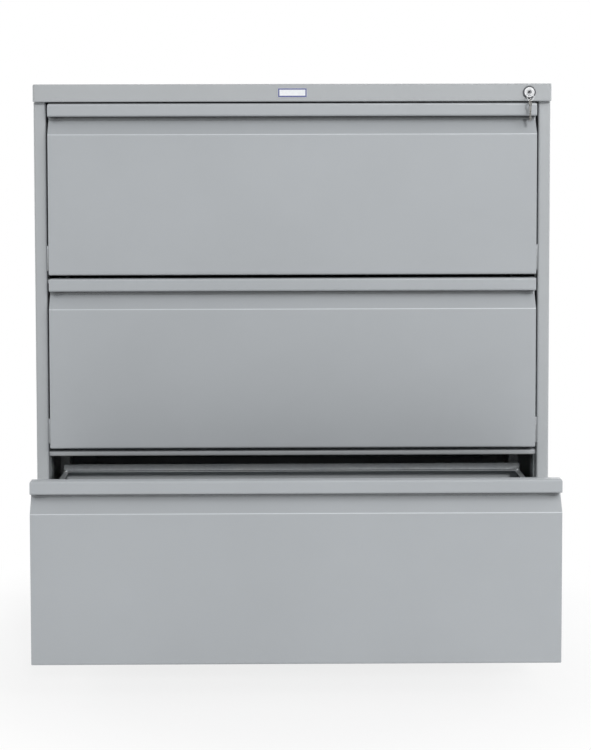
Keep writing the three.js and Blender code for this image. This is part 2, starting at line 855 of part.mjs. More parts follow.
// Flat bar in the right hand post with a hook for each drawer and a slotted plate for the cam's pin.
function lockBar() {
  const pinX = LOCK_X + CAM_ARM * Math.cos(CAM_REST_ANGLE);
  const pinZ = LOCK_Z + CAM_ARM * Math.sin(CAM_REST_ANGLE);
  const slotHalf = PIN_RADIUS + PIN_CLEARANCE;
  const slotLeft = pinX - slotHalf;
  const slotRight = LOCK_X + CAM_ARM + slotHalf;
  const plateLow = pinZ - slotHalf - BAR_EDGE;
  const plateHigh = pinZ + slotHalf + BAR_EDGE;
  const tip = POST_INNER - HOOK_REACH;
  const outline = new THREE.Shape();
  outline.moveTo(BAR_X1, hookBottom(0) - HOOK_HEIGHT);
  outline.lineTo(BAR_X1, plateHigh);
  outline.lineTo(slotLeft - BAR_EDGE, plateHigh);
  outline.lineTo(slotLeft - BAR_EDGE, plateLow);
  outline.lineTo(BAR_X0, plateLow);
  for (let index = DRAWER_NAMES.length - 1; index >= 0; index -= 1) {
    const low = hookBottom(index);
    outline.lineTo(BAR_X0, low + HOOK_HEIGHT);
    outline.lineTo(tip, low + HOOK_HEIGHT);
    outline.lineTo(tip, low);
    outline.lineTo(BAR_X0, low);
  }
  outline.lineTo(BAR_X0, hookBottom(0) - HOOK_HEIGHT);
  outline.holes.push(roundedRectangle(slotLeft, slotRight, pinZ - slotHalf, pinZ + slotHalf, PIN_RADIUS));
  return alongY(outline, BAR_FRONT, BAR_BACK);
}

// Flat key drawn about the middle of its bow, edge on to the front, with the blade towards +y.
function flatKey() {
  const shoulder = KEY_BOW_RADIUS + KEY_NECK;
  const tip = shoulder + KEY_BLADE_LENGTH;
  const opening = Math.asin(KEY_BLADE_HALF / KEY_BOW_RADIUS);
  const pitch = KEY_BLADE_LENGTH / (KEY_NOTCHES + 1);
  const outline = new THREE.Shape();
  outline.moveTo(tip, KEY_BLADE_HALF - KEY_NOTCH);
  outline.lineTo(tip - KEY_NOTCH, KEY_BLADE_HALF);
  outline.absarc(0, 0, KEY_BOW_RADIUS, opening, 2 * Math.PI - opening, false);
  for (let step = 1; step <= KEY_NOTCHES; step += 1) {
    const place = shoulder + step * pitch;
    outline.lineTo(place - KEY_NOTCH, -KEY_BLADE_HALF);
    outline.lineTo(place, -KEY_BLADE_HALF + KEY_NOTCH);
    outline.lineTo(place + KEY_NOTCH, -KEY_BLADE_HALF);
  }
  outline.lineTo(tip, -KEY_BLADE_HALF + KEY_NOTCH);
  const hole = new THREE.Path();
  hole.absarc(0, 0, KEY_HOLE_RADIUS, 0, 2 * Math.PI, true);
  outline.holes.push(hole);
  return alongX(outline, -KEY_THICKNESS / 2, KEY_THICKNESS / 2, ROUND_STEPS / 2);
}

function keyRing() {
  return new THREE.TorusGeometry(RING_RADIUS, RING_WIRE, WIRE_SIDES, ROUND_STEPS).rotateX(Math.PI / 2);
}

// Assembly, with y from the closed fronts' faces and z from the floor

const cabinet = new THREE.Group();
const SIDES = { left: -1, right: 1 };

// A group whose contents are drawn for the right hand side and mirrored on the left.
function sideGroup(parent, sign) {
  const group = new THREE.Group();
  group.scale.x = sign;
  parent.add(group);
  return group;
}

addPiece(sideGroup(cabinet, SIDES.left), "left_side_panel", sidePanel(), "paint");
addPiece(cabinet, "right_side_panel", lockSidePanel(), "paint");
addPiece(cabinet, "top_cap", topCap(), "paint");
addPiece(cabinet, "badge_plate", badgePlate(), "enamel");
addPiece(cabinet, "back_panel", backPanel(), "paint");
addPiece(cabinet, "base_pan", basePan(), "paint");
addPiece(cabinet, "kick_plate", channel(FRONT_PROUD, KICK_DEPTH, SIDE_FLOOR_GAP, BASE_TOP), "paint");

["lower", "upper"].forEach((name, index) => {
  const top = drawerBottom(index + 1) - CROSSRAIL_TOP_DROP;
  const rail = channel(LINER_BACK + CROSSRAIL_SETBACK, CROSSRAIL_DEPTH, top - CROSSRAIL_HEIGHT, top);
  addPiece(cabinet, `crossrail_${name}`, rail, "paint");
});

const FRONT_UPRIGHT_Y = FRONT_PROUD + POST_DEPTH + FRONT_UPRIGHT_SETBACK;
const REAR_UPRIGHT_Y = BOX_REAR - REAR_UPRIGHT_CLEARANCE - UPRIGHT_WIDTH;
for (const [sideName, sign] of Object.entries(SIDES)) {
  const side = sideGroup(cabinet, sign);
  addPiece(side, `${sideName}_front_upright`, slideUpright(FRONT_UPRIGHT_Y), "zinc");
  addPiece(side, `${sideName}_rear_upright`, slideUpright(REAR_UPRIGHT_Y), "zinc");
}

["front_left", "front_right", "rear_left", "rear_right"].forEach((name, index) => {
  const foot = addPiece(cabinet, `${name}_levelling_foot`, levellingFoot(), "plastic");
  foot.position.set(...footPlaces()[index], 0);
});

DRAWER_NAMES.forEach((name, index) => {
  const opening = REST_OPENINGS[index];
  const level = drawerBottom(index);

  const drawer = new THREE.Group();
  drawer.position.set(0, -opening, level);
  cabinet.add(drawer);
  addPiece(drawer, `${name}_drawer_front`, frontPanel(), "frontPaint");
  addPiece(drawer, `${name}_drawer_liner`, frontLiner(), "paint");
  addPiece(drawer, `${name}_drawer_tray`, tray(), "paint");
  addPiece(drawer, `${name}_drawer_back`, drawerBack(), "paint");
  addPiece(drawer, `${name}_front_hanger_rail`, frontHangerRail(), "zinc");
  addPiece(drawer, `${name}_rear_hanger_rail`, rearHangerRail(), "zinc");

  for (const [sideName, sign] of Object.entries(SIDES)) {
    const slide = sideGroup(cabinet, sign);
    slide.position.z = level + SLIDE_MID_Z;
    const label = `${name}_${sideName}_slide`;
    addPiece(slide, `${label}_case_member`, caseMember(), "zinc");
    addPiece(slide, `${label}_middle_member`, middleMember(), "zinc").position.y = -opening / 2;
    addPiece(slide, `${label}_drawer_member`, drawerMember(), "zinc").position.y = -opening;
  }
});

const lock = new THREE.Group();
lock.position.set(LOCK_X, 0, LOCK_Z);
cabinet.add(lock);
addPiece(lock, "lock_housing", lockHousing(), "chrome");
addPiece(lock, "lock_nut", lockNut(), "zinc");
addPiece(lock, "lock_plug", lockPlug(), "chrome");
addPiece(lock, "lock_cam", lockCam(), "zinc");
addPiece(cabinet, "lock_bar", lockBar(), "zinc");

const key = addPiece(lock, "lock_key", flatKey(), "nickel");
key.position.y = -BEZEL_PROUD - KEY_NECK - KEY_BOW_RADIUS;
const ring = addPiece(lock, "key_ring", keyRing(), "nickel");
ring.position.set(0, key.position.y, -KEY_HOLE_RADIUS + RING_HANG + RING_WIRE - RING_RADIUS);

// The origin is on the floor under the middle of the whole, open drawer included.
const part = new THREE.Group();
cabinet.position.y = -(DEPTH - Math.max(...REST_OPENINGS)) / 2;
part.add(cabinet);

export default part;
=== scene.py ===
"""Looks of a three drawer lateral filing cabinet: finishes, small parts, floor, light and camera."""
import json
import math

import bmesh
import bpy
from mathutils import Matrix, Vector


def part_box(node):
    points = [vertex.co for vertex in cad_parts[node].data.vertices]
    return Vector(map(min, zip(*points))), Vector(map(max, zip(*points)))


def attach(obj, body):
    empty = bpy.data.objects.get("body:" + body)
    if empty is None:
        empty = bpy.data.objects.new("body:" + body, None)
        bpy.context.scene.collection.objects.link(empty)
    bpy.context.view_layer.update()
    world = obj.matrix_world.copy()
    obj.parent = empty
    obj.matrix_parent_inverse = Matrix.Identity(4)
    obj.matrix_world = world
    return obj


MM = 0.001
DRAWERS = ("bottom", "middle", "top")
SIDES = {"left": -1, "right": 1}

# Camera, in metres and degrees, found by fitting edges of the photograph
CAMERA_PLACE = (-0.0560, -3.1350, 0.8735)
CAMERA_PITCH = 3.218
CAMERA_YAW = 0.465
CAMERA_ROLL = -0.142
CAMERA_LENS = 82.85
CAMERA_SENSOR = 36.0
CAMERA_SHIFT = (0.0273, -0.1507)

# Lamps: where each one stands and what it aims at in metres, its width in metres and its power in watts
SUN_PLACE = (0.7, -4.0, 1.7)
SUN_TARGET = (0.0, 0.0, 0.0)
SUN_SPREAD = 8.0
SUN_STRENGTH = 1.36
LAMPS = {
    "right_fill": ((1.5, -2.2, 2.3), (0.2, -0.1, 0.9), 1.4, 22),
    "left_fill": ((-2.2, -3.0, 2.3), (0.0, -0.1, 0.5), 1.6, 2),
    "right_light": ((3.0, 0.9, 1.8), (0.4, 0.1, 0.5), 1.8, 36),
    "left_light": ((-3.0, 0.9, 1.8), (-0.4, 0.1, 0.5), 1.8, 32),
    "back_light": ((0.4, 3.4, 2.2), (0.0, 0.3, 0.5), 2.0, 42),
}
WORLD_STRENGTH = 0.26

# Floor, in metres, with the distances over which its shadow fades out and the least share of white in it
FLOOR_RADIUS = 14.0
FLOOR_SIDES = 96
FLOOR_ROUGHNESS = 0.9
FLOOR_GLOSS = 0.1
FADE_START = 0.5
FADE_END = 0.85
FADE_LEAST = 0.82

# Paint and metal colours, linear
WHITE = (1.0, 1.0, 1.0)
CASE_GREY = (0.408, 0.427, 0.441)
FRONT_GREY = (0.402, 0.424, 0.444)
SPECKLE_SHADE = (0.965, 0.965, 0.965)
ZINC = (0.68, 0.70, 0.71)
# Zinc darkened as painted shade, for the hanger rails and slide ends that sit in shadow
PAINTED_SHADE_ZINC = (0.34, 0.35, 0.36)
COOL_BLOOM = (0.93, 0.95, 0.97)
WARM_BLOOM = (1.0, 0.995, 0.975)
CHROME = (0.86, 0.87, 0.88)
NICKEL = (0.30, 0.29, 0.27)
# Painted shade and dark reflection on the rim of the lock's bezel
BEZEL_RIM_PAINTED_SHADE = (0.14, 0.14, 0.15)
# Painted shade round the keyway, on the plug and the key in it
KEYWAY_PAINTED_SHADE = (0.07, 0.07, 0.075)
BLACK_PLASTIC = (0.022, 0.022, 0.024)
BADGE_WHITE = (0.86, 0.88, 0.90)
BADGE_BLUE = (0.075, 0.09, 0.28)
FLOOR_WHITE = (0.86, 0.86, 0.86)

# Noise mostly stays between these two values
NOISE_LOW = 0.3
NOISE_HIGH = 0.7

# Painted shade where a front's sheet is closed in: reach in millimetres, tint, and the open shares it spans
CREVICE_REACH = 30.0
CREVICE_SHADE = (0.1, 0.1, 0.1)
CREVICE_CLOSED = 0.56
CREVICE_OPEN = 0.70

# Painted highlight on the fold over each face: place and reach in millimetres, gain, and upward leans where it
# comes and goes
FACE_DROP = 54.5
FOLD_REACH = 8.0
FOLD_HIGHLIGHT_GAIN = 1.42
FOLD_LEANS = (0.04, 0.16, 0.44, 0.57)

# Screws, in millimetres
SCREW_RADIUS = 4.0
PAN_HEAD = 1.9
FLAT_HEAD = 1.3
SOCKET_RADIUS = 1.9
SOCKET_SIDES = 6
ROUND_SIDES = 36
SLIDE_SCREWS_FROM_FRONT = (22.0, 86.0)
SLIDE_SCREW_FROM_REAR = 50.0
RAIL_SCREW_REACH = 6.2
RAIL_SCREW_INSET = 4.8
BACK_SCREW_INSET = 27.0
BACK_SCREW_END = 40.0
BACK_SCREW_COUNT = 6

# Dome and socket of a screw head, as shares of its radius and height
SCREW_DOME = ((1.0, 0.0), (1.0, 0.35), (0.93, 0.66), (0.76, 0.9), (0.58, 1.0))
SOCKET_FLOOR = 0.35
SOCKET_TAPER = 0.94

# Slides and rails, in millimetres
SLIDE_SHEET = 1.2
SLIDE_PLAY = 0.3
SLIDE_END_WIDTH = 1.7
SLIDE_END_REACH = 8.2
BLOCK_EASE = 0.3
RAIL_SHEET = 1.5

# Badge, lock and keys, in millimetres and degrees
BORDER_INSET = 0.5
BORDER_WIDTH = 2.1
BORDER_PROUD = 0.25
# Radii where the painted shade on the lock's chrome starts, at the bezel's rim and round the keyway, and its
# soft edge
BEZEL_FACE_RADIUS = 8.4
KEYWAY_SHADE_RADIUS = 2.7
KEYWAY_NARROW = 1.5
PAINTED_SHADE_EDGE = 0.6
KEY_BOW_RADIUS = 7.0
KEY_HOLE_RADIUS = 4.6
RING_WIRE = 0.6
RING_PLAY = 0.3
SPARE_KEY_TURN = -24.0

# Smooth shading, in metres and degrees
WELD_REACH = 0.00002
FOLD_SPLIT_ANGLE = 40.0
SMALL_PART_SPLIT_ANGLE = 35.0
FACE_WEIGHT = 90


# Node materials


def opaque(colour):
    return (*colour, 1.0)


def scaled(colour, factor):
    return tuple(channel * factor for channel in colour)


class Finish:
    """A node material with a principled shader and the few node chains the finishes share."""

    def __init__(self, name):
        self.material = bpy.data.materials.new(name)
        self.material.use_nodes = True
        self.nodes = self.material.node_tree.nodes
        self.links = self.material.node_tree.links
        self.shader = self.nodes["Principled BSDF"]
        self.place = self.nodes.new("ShaderNodeTexCoord").outputs["Object"]

    def metal(self, share):
        self.shader.inputs["Metallic"].default_value = share
        return self

    def stretched(self, scale):
        mapping = self.nodes.new("ShaderNodeMapping")
        mapping.inputs["Scale"].default_value = scale
        self.links.new(self.place, mapping.inputs["Vector"])
        return mapping.outputs["Vector"]

    def noise(self, scale, detail=2.0, vector=None):
        node = self.nodes.new("ShaderNodeTexNoise")
        node.inputs["Scale"].default_value = scale
        node.inputs["Detail"].default_value = detail
        self.links.new(vector or self.place, node.inputs["Vector"])
        return node.outputs["Fac"]

    def cells(self, scale):
        node = self.nodes.new("ShaderNodeTexVoronoi")
        node.inputs["Scale"].default_value = scale
        self.links.new(self.place, node.inputs["Vector"])
        return node.outputs["Color"]

    def from_axis(self, centre, near, far, narrow=1.0):
        """0 within the near radius of an axis along y and 1 beyond the far one, narrower along x if asked."""
        offset = self.nodes.new("ShaderNodeVectorMath")
        offset.operation = "SUBTRACT"
        offset.inputs[1].default_value = centre
        flat = self.nodes.new("ShaderNodeVectorMath")
        flat.operation = "MULTIPLY"
        flat.inputs[1].default_value = (narrow, 0, 1)
        length = self.nodes.new("ShaderNodeVectorMath")
        length.operation = "LENGTH"
        share = self.nodes.new("ShaderNodeMapRange")
        share.inputs["From Min"].default_value = near
        share.inputs["From Max"].default_value = far
        self.links.new(self.place, offset.inputs[0])
        self.links.new(offset.outputs["Vector"], flat.inputs[0])
        self.links.new(flat.outputs["Vector"], length.inputs[0])
        self.links.new(length.outputs["Value"], share.inputs["Value"])
        return share.outputs["Result"]

    def ramp(self, source, low, high, start=NOISE_LOW, end=NOISE_HIGH):
        node = self.nodes.new("ShaderNodeValToRGB")
        node.color_ramp.elements[0].position = start
        node.color_ramp.elements[1].position = end
        node.color_ramp.elements[0].color = opaque(low)
        node.color_ramp.elements[1].color = opaque(high)
        self.links.new(source, node.inputs["Fac"])
        return node.outputs["Color"]

    def mottled(self, source, colour, darkest, lightest, **span):
        """The colour, varied by a source between two shares of itself."""
        return self.ramp(source, scaled(colour, darkest), scaled(colour, lightest), **span)

    def multiply(self, first, second):
        node = self.nodes.new("ShaderNodeMix")
        node.data_type = "RGBA"
        node.blend_type = "MULTIPLY"
        node.inputs["Factor"].default_value = 1.0
        self.links.new(first, node.inputs["A"])
        self.links.new(second, node.inputs["B"])
        return node.outputs["Result"]

    def painted_crevice_shade(self):
        """Painted shade in the folds of one sheet, from how far a point is closed in by that sheet alone."""
        node = self.nodes.new("ShaderNodeAmbientOcclusion")
        node.only_local = True
        node.inputs["Distance"].default_value = CREVICE_REACH * MM
        return self.ramp(node.outputs["AO"], CREVICE_SHADE, WHITE, start=CREVICE_CLOSED, end=CREVICE_OPEN)

    def near_height(self, bottom, pitch, rise):
        """1 near a rise above the bottom of any of the fronts, which repeat at a pitch, and 0 elsewhere."""
        height = self.nodes.new("ShaderNodeSeparateXYZ")
        self.links.new(self.place, height.inputs["Vector"])
        wrapped = self.nodes.new("ShaderNodeMath")
        wrapped.operation = "WRAP"
        wrapped.inputs[1].default_value = bottom + pitch
        wrapped.inputs[2].default_value = bottom
        self.links.new(height.outputs["Z"], wrapped.inputs[0])
        near = self.nodes.new("ShaderNodeMath")
        near.operation = "COMPARE"
        near.inputs[1].default_value = bottom + rise
        near.inputs[2].default_value = FOLD_REACH * MM
        self.links.new(wrapped.outputs["Value"], near.inputs[0])
        return near.outputs["Value"]

    def painted_fold_highlight(self, folds):
        """Painted highlight on the fold above each face, where the sheet turns from upright to leaning back."""
        near = self.near_height(*folds)
        normal = self.nodes.new("ShaderNodeNewGeometry").outputs["Normal"]
        split = self.nodes.new("ShaderNodeSeparateXYZ")
        self.links.new(normal, split.inputs["Vector"])
        node = self.nodes.new("ShaderNodeValToRGB")
        stops = node.color_ramp.elements
        upright, highlight_from, highlight_to, leaning = FOLD_LEANS
        stops[0].position, stops[1].position = upright, leaning
        for place in (highlight_from, highlight_to):
            stops.new(place).color = opaque(scaled(WHITE, FOLD_HIGHLIGHT_GAIN))
        for end in (0, 3):
            stops[end].color = opaque(WHITE)
        self.links.new(split.outputs["Z"], node.inputs["Fac"])
        mix = self.nodes.new("ShaderNodeMix")
        mix.data_type = "RGBA"
        mix.inputs["A"].default_value = opaque(WHITE)
        self.links.new(near, mix.inputs["Factor"])
        self.links.new(node.outputs["Color"], mix.inputs["B"])
        return mix.outputs["Result"]

    def colour(self, source):
        self.links.new(source, self.shader.inputs["Base Color"])
        return self

    def roughness(self, source, low, high):
        node = self.nodes.new("ShaderNodeMapRange")
        node.inputs["From Min"].default_value = NOISE_LOW
        node.inputs["From Max"].default_value = NOISE_HIGH
        node.inputs["To Min"].default_value = low
        node.inputs["To Max"].default_value = high
        self.links.new(source, node.inputs["Value"])
        self.links.new(node.outputs["Result"], self.shader.inputs["Roughness"])
        return self

    def bump(self, source, strength, depth):
        node = self.nodes.new("ShaderNodeBump")
        node.inputs["Strength"].default_value = strength
        node.inputs["Distance"].default_value = depth
        self.links.new(source, node.inputs["Height"])
        self.links.new(node.outputs["Normal"], self.shader.inputs["Normal"])
        return self


def powder_coat(name, grey, folds=None):
    """Satin powder coat: faint clouds from spraying, fine speckle and orange peel, and, where folds are given,
    painted shade in the creases and a painted highlight on the folds.
    """
    finish = Finish(name).metal(0.0)
    tone = finish.mottled(finish.noise(scale=4.0, detail=3.0), grey, darkest=0.972, lightest=1.028)
    speckle = finish.ramp(finish.noise(scale=1400.0, detail=1.0), SPECKLE_SHADE, WHITE)
    if folds:
        # painted shade in the creases under each lip
        tone = finish.multiply(tone, finish.painted_crevice_shade())
        # painted highlight on the fold above each face
        tone = finish.multiply(tone, finish.painted_fold_highlight(folds))
    finish.colour(finish.multiply(tone, speckle))
    finish.roughness(finish.noise(scale=55.0, detail=3.0), low=0.38, high=0.47)
    return finish.bump(finish.noise(scale=520.0), strength=0.16, depth=0.00025).material


def zinc_plate(name, zinc, low, high):
    """Zinc on rolled strip: small spangles and faint draw lines, between two roughnesses."""
    finish = Finish(name).metal(1.0)
    spangle = finish.mottled(finish.cells(scale=260.0), zinc, darkest=0.93, lightest=1.05, start=0.1, end=0.9)
    bloom = finish.ramp(finish.noise(scale=14.0, detail=4.0), COOL_BLOOM, WARM_BLOOM)
    finish.colour(finish.multiply(spangle, bloom))
    lines = finish.noise(scale=30.0, detail=4.0, vector=finish.stretched((1.0, 0.25, 9.0)))
    finish.roughness(lines, low, high)
    return finish.bump(lines, strength=0.05, depth=0.0001).material


def plated_sheen(finish, metal):
    return finish.mottled(finish.noise(scale=120.0, detail=3.0), metal, darkest=0.94, lightest=1.04)


def polished(name, metal, low, high):
    """Plated metal with the hair lines that polishing and use leave, between two roughnesses."""
    finish = Finish(name).metal(1.0)
    finish.colour(plated_sheen(finish, metal))
    hairs = finish.noise(scale=180.0, detail=5.0, vector=finish.stretched((9.0, 1.0, 1.4)))
    finish.roughness(hairs, low, high)
    return finish.bump(hairs, strength=0.05, depth=0.0001).material


def painted_shade_chrome(name, centre, radius, inside, outside, narrow=1.0):
    """Chrome of the lock, with one tint inside a radius round its axis and another outside, used for painted
    shade: a dark rim on the bezel and dark shade round the keyway.
    """
    finish = Finish(name).metal(1.0)
    sheen = plated_sheen(finish, CHROME)
    share = finish.from_axis(centre, radius * MM, (radius + PAINTED_SHADE_EDGE) * MM, narrow)
    finish.colour(finish.multiply(sheen, finish.ramp(share, inside, outside, start=0.0, end=1.0)))
    return finish.roughness(finish.noise(scale=260.0, detail=3.0), low=0.1, high=0.22).material


def moulded_plastic(name):
    """Black nylon with a fine spark eroded skin."""
    finish = Finish(name).metal(0.0)
    clouds = finish.noise(scale=90.0, detail=3.0)
    finish.colour(finish.mottled(clouds, BLACK_PLASTIC, darkest=0.8, lightest=1.3))
    finish.roughness(finish.noise(scale=300.0), low=0.48, high=0.62)
    return finish.bump(finish.noise(scale=1800.0), strength=0.2, depth=0.0002).material


def enamel(name, colour):
    """Glossy enamel with slight flow marks."""
    finish = Finish(name).metal(0.0)
    finish.colour(finish.mottled(finish.noise(scale=220.0), colour, darkest=0.96, lightest=1.02))
    finish.roughness(finish.noise(scale=400.0), low=0.16, high=0.26)
    return finish.bump(finish.noise(scale=160.0), strength=0.05, depth=0.0002).material


# Small parts


def mesh_piece(name, build, material, body):
    """A new piece whose mesh the build function draws, riding on a body."""
    form = bmesh.new()
    build(form)
    bmesh.ops.recalc_face_normals(form, faces=form.faces)
    mesh = bpy.data.meshes.new(name)
    form.to_mesh(mesh)
    form.free()
    mesh.shade_smooth()
    mesh.set_sharp_from_angle(angle=math.radians(SMALL_PART_SPLIT_ANGLE))
    piece = bpy.data.objects.new(name, mesh)
    bpy.context.collection.objects.link(piece)
    mesh.materials.append(material)
    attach(piece, body)
    return piece


def middle_of(node):
    """Lowest corner, highest corner and middle of a node's box."""
    low, high = (Vector(corner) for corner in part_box(node))
    return low, high, (low + high) / 2


def ring_of_points(form, radius, height, sides, matrix):
    """Round ring, or one with flat sides if a number of sides is given."""
    points = []
    for step in range(ROUND_SIDES):
        angle = 2 * math.pi * step / ROUND_SIDES
        reach = radius
        if sides:
            sector = math.pi / sides
            reach = radius * math.cos(sector) / math.cos((angle % (2 * sector)) - sector)
        spot = Vector((reach * math.cos(angle), reach * math.sin(angle), height)) * MM
        points.append(form.verts.new(matrix @ spot))
    return points


def add_screw(form, place, axis, height):
    """Screw head with a six sided socket, standing on a face at a place along an axis."""
    turn = Vector((0, 0, 1)).rotation_difference(Vector(axis)).to_matrix().to_4x4()
    matrix = Matrix.Translation(Vector(place)) @ turn
    profile = [(SCREW_RADIUS * out, height * up, 0) for out, up in SCREW_DOME]
    profile += [
        (SOCKET_RADIUS, height, SOCKET_SIDES),
        (SOCKET_RADIUS * SOCKET_TAPER, height * SOCKET_FLOOR, SOCKET_SIDES),
    ]
    rings = [ring_of_points(form, radius, rise, sides, matrix) for radius, rise, sides in profile]
    for lower, upper in zip(rings, rings[1:]):
        for step in range(ROUND_SIDES):
            after = (step + 1) % ROUND_SIDES
            form.faces.new((lower[step], lower[after], upper[after], upper[step]))
    form.faces.new(list(reversed(rings[0])))
    form.faces.new(rings[-1])


def screws(name, places, axis, body, material, height=PAN_HEAD):
    def build(form):
        for place in places:
            add_screw(form, place, axis, height)

    mesh_piece(name, build, material, body)


def slide_screws(drawer, material):
    """Screws that hold each drawer member to the tray, on its web between the flanges."""
    for side, sign in SIDES.items():
        low, high, middle = middle_of(f"{drawer}_{side}_slide_drawer_member")
        web = (low.x if sign > 0 else high.x) + sign * SLIDE_SHEET * MM
        rows = [low.y + reach * MM for reach in SLIDE_SCREWS_FROM_FRONT]
        rows += [middle.y, high.y - SLIDE_SCREW_FROM_REAR * MM]
        places = [(web, y, middle.z) for y in rows]
        screws(f"{drawer}_{side}_slide_screws", places, (sign, 0, 0), f"{drawer}_drawer", material)


def add_block(form, low, high):
    """Block between two corners, with its edges eased."""
    low, high = Vector(low), Vector(high)
    size = Matrix.Diagonal((*(high - low), 1))
    made = bmesh.ops.create_cube(form, size=1.0, matrix=Matrix.Translation((low + high) / 2) @ size)
    edges = list({edge for point in made["verts"] for edge in point.link_edges})
    bmesh.ops.bevel(form, geom=edges, offset=BLOCK_EASE * MM, segments=2, affect="EDGES", profile=0.5)


def blocks_piece(name, blocks, material, body):
    def build(form):
        for low, high in blocks:
            add_block(form, low, high)

    mesh_piece(name, build, material, body)


def slide_ends(drawer, material):
    """Front ends of the case and middle members, which show in the gaps beside a closed drawer."""
    stops, ends = [], []
    reach = SLIDE_END_REACH * MM
    for side, sign in SIDES.items():
        case_low, case_high, _ = middle_of(f"{drawer}_{side}_slide_case_member")
        run_low, run_high, _ = middle_of(f"{drawer}_{side}_slide_middle_member")
        case_x = case_high.x if sign > 0 else -case_low.x
        run_x = run_high.x if sign > 0 else -run_low.x
        for blocks, low, high, inner, outer in (
            (stops, case_low, case_high, run_x + SLIDE_PLAY * MM, case_x),
            (ends, run_low, run_high, run_x - SLIDE_END_WIDTH * MM, run_x),
        ):
            near, far = sorted((sign * inner, sign * outer))
            blocks.append(((near, low.y - reach, low.z), (far, low.y, high.z)))
    blocks_piece(f"{drawer}_slide_stops", stops, material, "case")
    blocks_piece(f"{drawer}_slide_ends", ends, material, f"{drawer}_runners")


def rail_screws(drawer, material):
    """Screws through the ends of both hanger rails into the tray's hems."""
    places = []
    for end, sign in (("front", 1), ("rear", -1)):
        low, high, _ = middle_of(f"{drawer}_{end}_hanger_rail")
        y = (low.y if sign > 0 else high.y) + sign * RAIL_SCREW_REACH * MM
        x = high.x - RAIL_SCREW_INSET * MM
        places += [(x, y, low.z + RAIL_SHEET * MM), (-x, y, low.z + RAIL_SHEET * MM)]
    screws(f"{drawer}_rail_screws", places, (0, 0, 1), f"{drawer}_drawer", material)


def back_screws(material):
    """Screws down both edges of the back panel, beside the rear flanges of the side panels."""
    low, high, _ = middle_of("back_panel")
    lowest = low.z + BACK_SCREW_END * MM
    pitch = (high.z - low.z - 2 * BACK_SCREW_END * MM) / (BACK_SCREW_COUNT - 1)
    heights = [lowest + pitch * step for step in range(BACK_SCREW_COUNT)]
    x = middle_of("right_side_panel")[1].x - BACK_SCREW_INSET * MM
    places = [(sign * x, high.y, z) for sign in SIDES.values() for z in heights]
    screws("back_panel_screws", places, (0, 1, 0), "case", material, FLAT_HEAD)


def badge_border(material):
    """Thin raised frame round the blank badge plate."""
    low, high, middle = middle_of("badge_plate")
    back, front = low.y, low.y - BORDER_PROUD * MM
    outer, inner = BORDER_INSET * MM, (BORDER_INSET + BORDER_WIDTH) * MM

    def loop(form, shrink, y):
        x = high.x - shrink
        z = (high.z - low.z) / 2 - shrink
        corners = ((-x, -z), (x, -z), (x, z), (-x, z))
        return [form.verts.new((cx, y, middle.z + cz)) for cx, cz in corners]

    def build(form):
        outline = ((outer, back), (outer, front), (inner, front), (inner, back))
        loops = [loop(form, shrink, y) for shrink, y in outline]
        for index, ring in enumerate(loops):
            following = loops[(index + 1) % len(loops)]
            for step in range(len(ring)):
                after = (step + 1) % len(ring)
                form.faces.new((ring[step], ring[after], following[after], following[step]))

    mesh_piece("badge_border", build, material, "case")


def spare_key(frame, material):
    """A second key like the one in the lock, hanging from the ring and turned a little off edge on."""
    key_low, key_high, _ = middle_of("lock_key")
    ring_low, _, ring_middle = middle_of("key_ring")
    bow = Vector((ring_middle.x, key_low.y + KEY_BOW_RADIUS * MM, (key_low.z + key_high.z) / 2))
    hang = ring_low.z + (2 * RING_WIRE + RING_PLAY - KEY_HOLE_RADIUS) * MM
    down = Matrix.Rotation(math.radians(-90), 4, "X")
    turn = Matrix.Rotation(math.radians(SPARE_KEY_TURN), 4, "Z") @ down
    mesh = frame["nodes"]["lock_key"].data.copy()
    mesh.name = "spare_key"
    mesh.transform(Matrix.Translation((bow.x, bow.y, hang)) @ turn @ Matrix.Translation(-bow))
    piece = bpy.data.objects.new("spare_key", mesh)
    bpy.context.collection.objects.link(piece)
    piece.data.materials.clear()
    piece.data.materials.append(material)
    soften(piece)
    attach(piece, "key_ring")


# Scene


def soften(piece):
    """Joins split corners and shades folds and rounds smooth."""
    weld = piece.modifiers.new("weld", "WELD")
    weld.merge_threshold = WELD_REACH
    split = piece.modifiers.new("split", "EDGE_SPLIT")
    split.split_angle = math.radians(FOLD_SPLIT_ANGLE)
    weighted = piece.modifiers.new("weighted", "WEIGHTED_NORMAL")
    weighted.weight = FACE_WEIGHT
    weighted.keep_sharp = True


def dress_nodes(frame, finishes, special):
    """Every carried-over solid takes its own or its slot's finish, with its folds shaded smooth."""
    slots = {row["node"]: row["material_slot"] for row in frame["record"]["subparts"]}
    for name, node in frame["nodes"].items():
        node.material_slots[0].material = special.get(name, finishes[slots[name]])
        soften(node)


def joined(tree, operation, first, second):
    """A math node on two sockets."""
    node = tree.nodes.new("ShaderNodeMath")
    node.operation = operation
    tree.links.new(first, node.inputs[0])
    tree.links.new(second, node.inputs[1])
    return node.outputs["Value"]


def mixed(tree, share, first, second):
    """The first shader, with a share of the second."""
    node = tree.nodes.new("ShaderNodeMixShader")
    tree.links.new(share, node.inputs["Fac"])
    tree.links.new(first, node.inputs[1])
    tree.links.new(second, node.inputs[2])
    return node.outputs["Shader"]


